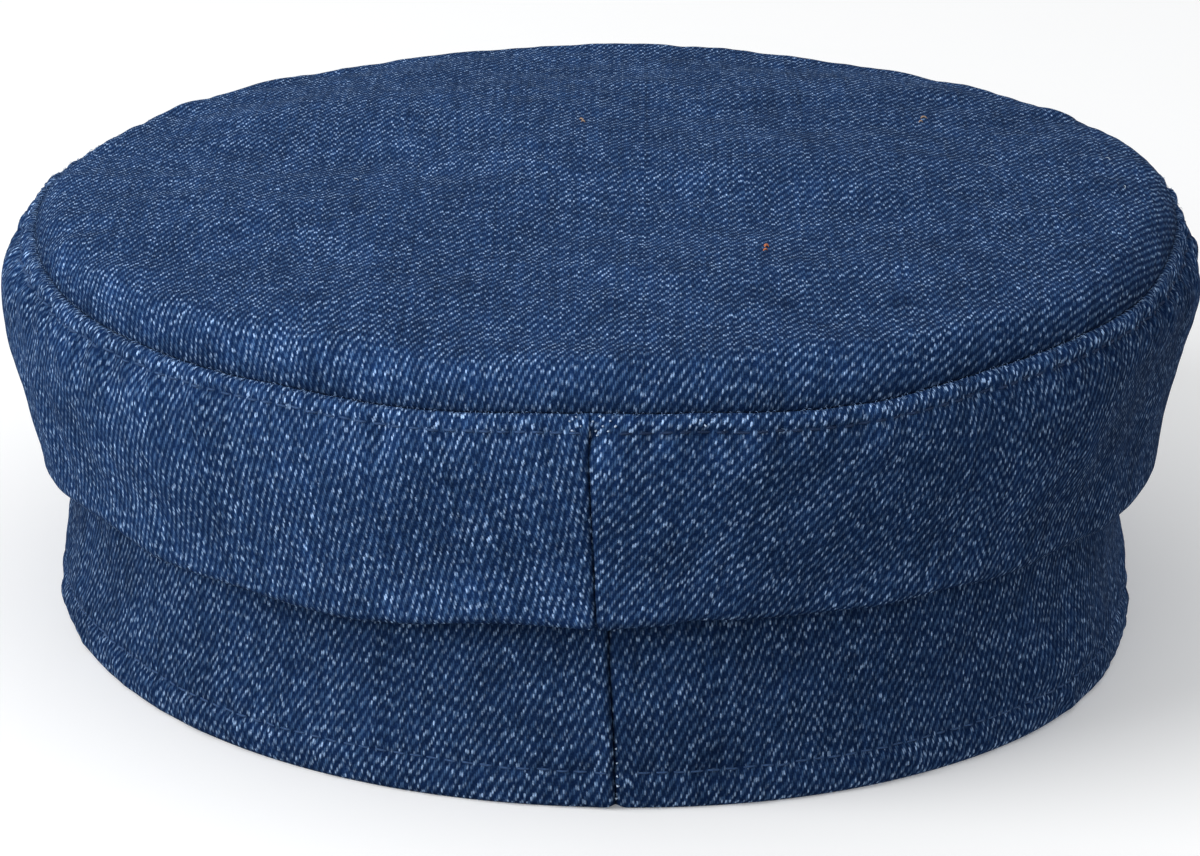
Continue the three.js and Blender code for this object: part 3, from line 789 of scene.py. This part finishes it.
def peak_stitches(want, seed):
    grid, normals, edge, s = peak_made["grid"], peak_made["normals"], peak_made["from_edge"], peak_made["s"]
    cols = [i for i in range(len(s)) if edge[i, 0] > want + 2.5]
    path, norm = [], []
    for i in cols:
        k = np.arange(peak_made["upper"])
        row = np.interp(want, edge[i, :46][::-1], k[::-1])
        j = int(min(row, 44))
        f = row - j
        path.append(grid[i, j] * (1 - f) + grid[i, j + 1] * f)
        norm.append(normals[i, j])
    path, norm = np.array(path), np.array(norm)
    length = np.concatenate([[0], np.cumsum(np.linalg.norm(np.diff(path, axis=0), axis=1))])
    rng, at, lines = np.random.RandomState(seed), 0.5, []
    while at + STITCH < length[-1]:
        q = at + np.linspace(0, STITCH - 0.55, 7)
        p = np.stack([np.interp(q, length, path[:, c]) for c in range(3)], -1)
        n = np.stack([np.interp(q, length, norm[:, c]) for c in range(3)], -1)
        lines.append((p, n / np.linalg.norm(n, axis=1, keepdims=True)))
        at += STITCH * rng.uniform(0.95, 1.05)
    return lines


thread_peak = thread("peak_stitches", peak_stitches(3.0, 8) + peak_stitches(9.0, 9), seed=8)


# ------------------------------------------------------------------ lint and loose thread ends
CAMERA_DOWN, CAMERA_FAR, CAMERA_ROLL, FOCAL = math.radians(19.35), 940.0, math.radians(1.6), 5699.0


def seen_at(o, u, v):
    """The point and normal of a piece, in mm about the middle, that the camera sees at a place in the 1200 x 856 frame."""
    me = o.data
    p = np.empty(len(me.vertices) * 3, np.float32)
    me.vertices.foreach_get("co", p)
    n = np.empty(len(me.vertices) * 3, np.float32)
    me.vertices.foreach_get("normal", n)
    p, n = p.reshape(-1, 3) * 1000.0 - MIDDLE, n.reshape(-1, 3)
    back = np.array([0, math.cos(CAMERA_DOWN), math.sin(CAMERA_DOWN)])
    up = np.array([0, -math.sin(CAMERA_DOWN), math.cos(CAMERA_DOWN)])
    q = p - np.array([0, 0, 26.7])
    z = CAMERA_FAR - q @ back
    x, y = -q[:, 0] / z, (q @ up) / z
    c, s = math.cos(CAMERA_ROLL), math.sin(CAMERA_ROLL)
    uu, vv = 600 + FOCAL * (x * c + y * s), 428 - FOCAL * (y * c - x * s)
    off = np.hypot(uu - u, vv - v) + 1e4 * ((n @ back) < 0.05)
    i = int(np.argmin(off))
    return p[i].astype(float), n[i].astype(float)


def fibres(name, places, length, radius, seed):
    rng = np.random.RandomState(seed)
    lines = []
    for o, u, v in places:
        p, n = seen_at(o, u, v)
        t = np.cross(n, rng.normal(0, 1, 3))
        t /= np.linalg.norm(t)
        w = np.cross(n, t)
        s = np.linspace(-0.5, 0.5, 7)[:, None] * length * rng.uniform(0.7, 1.3)
        bow = rng.uniform(-0.5, 0.5) * (s / length) ** 2 * length
        lines.append((p + s * t + bow * w + n * (0.12 + 0.25 * radius), np.repeat(n[None], 7, 0)))
    return thread(name, lines, radius=radius, seed=seed)


ends_white = fibres("thread_ends", [
    (side_left, 568, 421), (side_left, 573, 429), (side_left, 577, 417), (side_left, 581, 424),
    (side_right, 592, 420), (side_right, 596, 431), (side_right, 600, 416), (side_right, 604, 424),
    (side_right, 608, 429), (side_right, 612, 419), (side_right, 618, 424), (side_right, 597, 438),
    (side_right, 690, 425), (side_right, 699, 422), (side_right, 703, 426),
    (band, 617, 748), (band, 617, 762), (band, 617, 775), (band, 618, 786), (band, 618, 797),
], 0.34, 0.14, 91)
lint_white = fibres("lint_white", [(top, 360, 179), (top, 1130, 188), (top, 1110, 158)], 1.5, 0.06, 92)
lint_tan = fibres("lint_tan", [(top, 582, 120), (top, 582, 122), (top, 921, 120), (top, 922, 119)], 0.9, 0.17, 93)
lint_orange = fibres("lint_orange", [(top, 765, 247), (top, 767, 248), (top, 766, 249)], 0.9, 0.19, 94)


def fluff(name, panels, seed):
    """Short fibres that stand up along the crown seam."""
    rng, lines = np.random.RandomState(seed), []
    for made in panels:
        for k, want in enumerate((-0.15, 0.1, 0.35, 0.7)):
            for points, normals in stitch_lines(made, want, 1.0 + 0.69 * k, made["along"][-1] - 1, seed + k, gap=2.2):
                p, n = points[3], normals[3]
                t = np.cross(n, rng.normal(0, 1, 3))
                t /= np.linalg.norm(t)
                size = rng.uniform(0.35, 1.0)
                s = np.linspace(-0.5, 0.5, 5)[:, None] * size
                bow = rng.uniform(-0.5, 0.5) * (s / size) ** 2 * size
                if rng.uniform() < 0.75:
                    lines.append((p + s * t + bow * np.cross(n, t) + n * 0.15, np.repeat(n[None], 5, 0)))
    return thread(name, lines, radius=0.045, sides=4, seed=seed)


seam_fluff = fluff("seam_fluff", (left_made, right_made), 95)


# ------------------------------------------------------------------ materials
def denim(name, colours, painted_light_level=1.0, phase=0.0, fleck=1.0):
    """Right-hand twill in mm of cloth: yarns side by side, whose floats step up to the right from yarn to yarn."""
    mat = bpy.data.materials.new(name)
    mat.use_nodes = True
    tree = mat.node_tree
    tree.nodes.clear()

    def node(kind, **settings):
        n = tree.nodes.new(kind)
        for k, v in settings.items():
            setattr(n, k, v)
        return n

    def put(socket, value):
        if isinstance(value, bpy.types.NodeSocket):
            tree.links.new(value, socket)
        else:
            socket.default_value = value

    def m(op, a, b=None, c=None):
        n = node("ShaderNodeMath", operation=op)
        for i, v in enumerate((a, b, c)):
            if v is not None:
                put(n.inputs[i], v)
        return n.outputs[0]

    def step(value, low, high):
        n = node("ShaderNodeMapRange", interpolation_type="SMOOTHSTEP")
        put(n.inputs["Value"], value)
        n.inputs["From Min"].default_value, n.inputs["From Max"].default_value = low, high
        return n.outputs["Result"]

    def span(value, low, high, a=0.0, b=1.0):
        n = node("ShaderNodeMapRange")
        put(n.inputs["Value"], value)
        for key, v in (("From Min", a), ("From Max", b), ("To Min", low), ("To Max", high)):
            n.inputs[key].default_value = v
        return n.outputs["Result"]

    def mix(a, b, f):
        n = node("ShaderNodeMix", data_type="RGBA")
        put(n.inputs[0], f)
        put(n.inputs[6], a)
        put(n.inputs[7], b)
        return n.outputs[2]

    def vec(x, y, z=0.0):
        n = node("ShaderNodeCombineXYZ")
        put(n.inputs[0], x)
        put(n.inputs[1], y)
        put(n.inputs[2], z)
        return n.outputs[0]

    def noise(v, scale, detail=2.0, rough=0.5):
        n = node("ShaderNodeTexNoise")
        put(n.inputs["Vector"], v)
        n.inputs["Scale"].default_value = scale
        n.inputs["Detail"].default_value = detail
        n.inputs["Roughness"].default_value = rough
        return n.outputs[0]

    def white(v):
        n = node("ShaderNodeTexWhiteNoise", noise_dimensions="3D")
        put(n.inputs["Vector"], v)
        return n.outputs["Value"]

    uv = node("ShaderNodeUVMap", uv_map="cloth").outputs[0]
    sep = node("ShaderNodeSeparateXYZ")
    put(sep.inputs[0], uv)
    u0, v0 = sep.outputs[0], sep.outputs[1]
    bend_u = m("MULTIPLY", m("SUBTRACT", noise(uv, 0.06, 1), 0.5), 0.6)
    bend_v = m("MULTIPLY", m("SUBTRACT", noise(vec(v0, u0, 7.0), 0.07, 1), 0.5), 0.9)
    u = m("ADD", u0, bend_u)
    v = m("ADD", v0, bend_v)
    a = m("DIVIDE", u, 0.305)
    i = m("FLOOR", a)
    fu = m("FRACT", a)
    yarn = white(vec(i, 3.0 + phase))
    p = m("ADD", m("SUBTRACT", m("DIVIDE", v, 2.34), m("MULTIPLY", i, 0.25)), m("MULTIPLY", yarn, 0.31))
    j = m("FLOOR", p)
    fp = m("FRACT", p)
    one = white(vec(i, j, 5.0 + phase))
    two = white(vec(j, i, 9.0 + phase))
    across = m("SUBTRACT", 1.0, m("POWER", m("ABSOLUTE", m("SUBTRACT", m("MULTIPLY", fu, 2.0), 1.0)), 2.2))
    from_middle = m("ABSOLUTE", m("SUBTRACT", m("MULTIPLY", fp, 2.0), 1.0))
    float_ = m("SUBTRACT", 1.0, step(from_middle, 0.10, 0.72))
    hump = m("MULTIPLY", m("ADD", 0.45, m("MULTIPLY", across, 0.55)), float_)
    body = m("MULTIPLY", hump, m("ADD", 0.45, m("MULTIPLY", one, 0.75)))
    grain = noise(vec(m("MULTIPLY", u0, 1.0), m("MULTIPLY", v0, 1.0), 2.0), 2.6, 3, 0.6)
    body = m("ADD", body, m("MULTIPLY", m("SUBTRACT", grain, 0.5), 0.95))
    valley, middle, light = [(*c, 1.0) for c in colours]
    colour = mix(valley, middle, step(body, -0.15, 1.05))
    place = m("MULTIPLY", m("SUBTRACT", white(vec(i, j, 77.0 + phase)), 0.5), 0.85)
    bead = m("SUBTRACT", 1.0, step(m("ABSOLUTE", m("SUBTRACT", m("SUBTRACT", m("MULTIPLY", fp, 2.0), 1.0), place)), 0.05, 0.42))
    soft = m("ADD", 0.30, m("MULTIPLY", across, 0.70))
    fuzz = m("ADD", 0.45, m("MULTIPLY", step(noise(vec(u0, v0, 11.0), 2.6, 2, 0.6), 0.36, 0.60), 0.75))
    fuzz = m("MULTIPLY", fuzz, span(noise(vec(u0, v0, 23.0), 0.42, 3, 0.65), 0.35, 1.75, 0.32, 0.68))
    flecks = m("MULTIPLY", m("MULTIPLY", m("POWER", two, 2.4), bead), m("MULTIPLY", soft, m("MULTIPLY", fuzz, 1.15 * fleck)))
    loud = m("MULTIPLY", m("MULTIPLY", step(one, 0.90, 1.0), bead), m("MULTIPLY", soft, 0.70 * fleck))
    wear_and_highlight = node("ShaderNodeAttribute", attribute_name="wear_and_highlight", attribute_type="GEOMETRY").outputs["Fac"]
    shade = node("ShaderNodeAttribute", attribute_name="shade", attribute_type="GEOMETRY").outputs["Fac"]
    flecks = m("MULTIPLY", flecks, m("ADD", 1.0, m("MULTIPLY", wear_and_highlight, 1.1)))
    colour = mix(colour, light, m("MINIMUM", flecks, 1.0))
    colour = mix(colour, (0.40, 0.60, 0.92, 1.0), m("MINIMUM", m("MULTIPLY", loud, m("ADD", 0.7, wear_and_highlight)), 1.0))
    # uneven dye: soft patches, streaks down the warp and single paler or darker yarns
    patch = span(noise(uv, 0.075, 4, 0.6), 0.80, 1.20, 0.3, 0.7)
    small = span(noise(uv, 0.33, 3, 0.6), 0.86, 1.14, 0.3, 0.7)
    speck = span(noise(vec(u0, v0, 41.0), 4.2, 1, 0.5), 0.78, 1.22, 0.25, 0.75)
    streak = span(noise(vec(m("MULTIPLY", u0, 1.1), m("MULTIPLY", v0, 0.03), 1.0), 1.0, 2, 0.5), 0.86, 1.14, 0.3, 0.7)
    single = span(yarn, 0.93, 1.07)
    k = m("MULTIPLY", m("MULTIPLY", patch, m("MULTIPLY", streak, speck)), m("MULTIPLY", small, single))
    # painted shade from the shade attribute: up to 42 percent darker in creases, grooves, under the fold and where
    # pieces are painted darker as the light falls
    k = m("MULTIPLY", k, m("SUBTRACT", 1.0, m("MULTIPLY", shade, 0.42)))
    # each piece's painted light level, raised a little by wear and by the fold rim's painted highlight
    k = m("MULTIPLY", k, m("ADD", painted_light_level, m("MULTIPLY", wear_and_highlight, 0.14)))
    tint = node("ShaderNodeVectorMath", operation="SCALE")
    put(tint.inputs[0], colour)
    put(tint.inputs["Scale"], k)
    shader = node("ShaderNodeBsdfPrincipled")
    put(shader.inputs["Base Color"], tint.outputs[0])
    shader.inputs["Roughness"].default_value = 0.95
    shader.inputs["Specular IOR Level"].default_value = 0.02
    shader.inputs["Sheen Weight"].default_value = 0.005
    shader.inputs["Sheen Roughness"].default_value = 0.5
    shader.inputs["Sheen Tint"].default_value = (0.75, 0.85, 1.0, 1.0)
    bump = node("ShaderNodeBump")
    bump.inputs["Strength"].default_value = 0.55
    bump.inputs["Distance"].default_value = 0.00022
    put(bump.inputs["Height"], m("ADD", hump, m("MULTIPLY", grain, 0.25)))
    put(shader.inputs["Normal"], bump.outputs[0])
    out = node("ShaderNodeOutputMaterial")
    put(out.inputs["Surface"], shader.outputs[0])
    return mat


FACE = ((0.0044, 0.0168, 0.0640), (0.0410, 0.0925, 0.2040), (0.30, 0.445, 0.69))
BACK = ((0.12, 0.17, 0.26), (0.33, 0.39, 0.48), (0.55, 0.58, 0.62))
# the same denim on each piece as lit and shaded copies: the third number is a painted light level, painting the crown
# top lighter and the head band darker
top_denim = denim("denim_top_face", FACE, 1.20, 0.0, 0.82)
side_denim = denim("denim_side_face", FACE, 1.10, 17.0, 0.95)
band_denim = denim("denim_band_face", FACE, 0.93, 31.0, 0.95)
peak_denim = denim("denim_peak_face", FACE, 1.03, 43.0)
reverse = denim("denim_reverse", BACK, 1.0, 57.0, 0.6)


def plain(name, colour, rough=0.8, scale=900.0, vary=0.25):
    mat = bpy.data.materials.new(name)
    mat.use_nodes = True
    tree = mat.node_tree
    shader = tree.nodes["Principled BSDF"]
    place = tree.nodes.new("ShaderNodeTexCoord")
    noise = tree.nodes.new("ShaderNodeTexNoise")
    noise.inputs["Scale"].default_value = scale
    noise.inputs["Detail"].default_value = 2
    ramp = tree.nodes.new("ShaderNodeMix")
    ramp.data_type = "RGBA"
    ramp.inputs[6].default_value = (*[c * (1 - vary) for c in colour], 1)
    ramp.inputs[7].default_value = (*[c * (1 + vary) for c in colour], 1)
    tree.links.new(place.outputs["Object"], noise.inputs["Vector"])
    tree.links.new(noise.outputs[0], ramp.inputs[0])
    tree.links.new(ramp.outputs[2], shader.inputs["Base Color"])
    shader.inputs["Roughness"].default_value = rough
    shader.inputs["Specular IOR Level"].default_value = 0.2
    return mat


navy = plain("navy_thread", (0.014, 0.032, 0.085), 0.8, 2500.0, 0.6)
blue = plain("blue_thread", (0.032, 0.070, 0.165), 0.8, 2500.0, 0.6)
floor_paint = plain("pale_floor", (0.93, 0.93, 0.93), 0.95, 3.0, 0.002)
floor_paint.node_tree.nodes["Principled BSDF"].inputs["Emission Color"].default_value = (1, 1, 1, 1)
floor_paint.node_tree.nodes["Principled BSDF"].inputs["Emission Strength"].default_value = 0.14

for piece, face, slot_name, node_names in (
    (top, top_denim, "denim_top", ["crown_top"]),
    (side_left, side_denim, "denim_side", ["crown_side_left"]),
    (side_right, side_denim, "denim_side", ["crown_side_right"]),
    (band, band_denim, "denim_band", ["head_band"]),
    (peak_piece, peak_denim, "denim_peak", ["peak"]),
):
    piece.data.materials.append(face)
    piece.data.materials.append(reverse)
    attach(piece, "root")
    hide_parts(*node_names)
for piece, colour in (
    (ends_white, (0.46, 0.58, 0.76)),
    (seam_fluff, (0.15, 0.25, 0.45)),
    (lint_white, (0.42, 0.50, 0.60)),
    (lint_tan, (0.34, 0.24, 0.17)),
    (lint_orange, (0.50, 0.17, 0.08)),
):
    piece.data.materials.append(plain(piece.name + "_fibre", colour, 0.8, 3000.0, 0.2))
    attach(piece, "root")
for piece, slot_name in ((thread_left, "denim_side"), (thread_right, "denim_side"), (thread_hem, "denim_band"), (thread_peak, "denim_peak")):
    piece.data.materials.append(blue if piece in (thread_left, thread_hem) else navy)
    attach(piece, "root")

# ------------------------------------------------------------------ floor, light and camera
floor_mesh = bpy.data.meshes.new("floor")
floor_mesh.from_pydata([(-4, -4, 0), (4, -4, 0), (4, 4, 0), (-4, 4, 0)], [], [(0, 1, 2, 3)])
floor = bpy.data.objects.new("floor", floor_mesh)
bpy.context.scene.collection.objects.link(floor)
floor.data.materials.append(floor_paint)
floor.visible_diffuse = False

scene = bpy.context.scene
scene.view_settings.view_transform = "Standard"
scene.view_settings.look = "None"

world = bpy.data.worlds.new("studio")
scene.world = world
world.use_nodes = True
wt = world.node_tree
sky = wt.nodes["Background"]
coord = wt.nodes.new("ShaderNodeTexCoord")
split = wt.nodes.new("ShaderNodeSeparateXYZ")
rise = wt.nodes.new("ShaderNodeMapRange")
rise.inputs["From Min"].default_value, rise.inputs["From Max"].default_value = -0.25, 0.6
rise.inputs["To Min"].default_value, rise.inputs["To Max"].default_value = 0.36, 0.72
wt.links.new(coord.outputs["Generated"], split.inputs[0])
wt.links.new(split.outputs[2], rise.inputs["Value"])
wt.links.new(rise.outputs[0], sky.inputs["Strength"])
sky.inputs["Color"].default_value = (0.99, 1.0, 1.01, 1)


def area(name, place, target, size, watts, colour=(1, 1, 1)):
    data = bpy.data.lights.new(name, "AREA")
    data.shape, data.size, data.energy, data.color = "DISK", size, watts, colour
    o = bpy.data.objects.new(name, data)
    o.location = place
    o.rotation_euler = (Vector(target) - Vector(place)).to_track_quat("-Z", "Y").to_euler()
    scene.collection.objects.link(o)
    return o


cap = Vector((MIDDLE[0], MIDDLE[1], 40)) * 0.001
area("key", (0.96, 0.50, 0.57), cap, 0.9, 11.2)
area("fill", (0.28, 1.35, 0.40), cap, 0.9, 1.7)

aim = Vector((MIDDLE[0], MIDDLE[1], 26.7)) * 0.001
tall = math.radians(19.35)
far = 0.940
eye = aim + far * Vector((0, math.cos(tall), math.sin(tall)))
camera_data = bpy.data.cameras.new("camera")
camera_data.sensor_fit, camera_data.sensor_width = "HORIZONTAL", 36.0
camera_data.lens = 170.97
camera_data.clip_start, camera_data.clip_end = 0.01, 20
camera = bpy.data.objects.new("camera", camera_data)
scene.collection.objects.link(camera)
look = (aim - eye).to_track_quat("-Z", "Y").to_matrix().to_4x4()
camera.matrix_world = Matrix.Translation(eye) @ look @ Matrix.Rotation(math.radians(1.6), 4, "Z")
scene.camera = camera

bpy.context.view_layer.update()
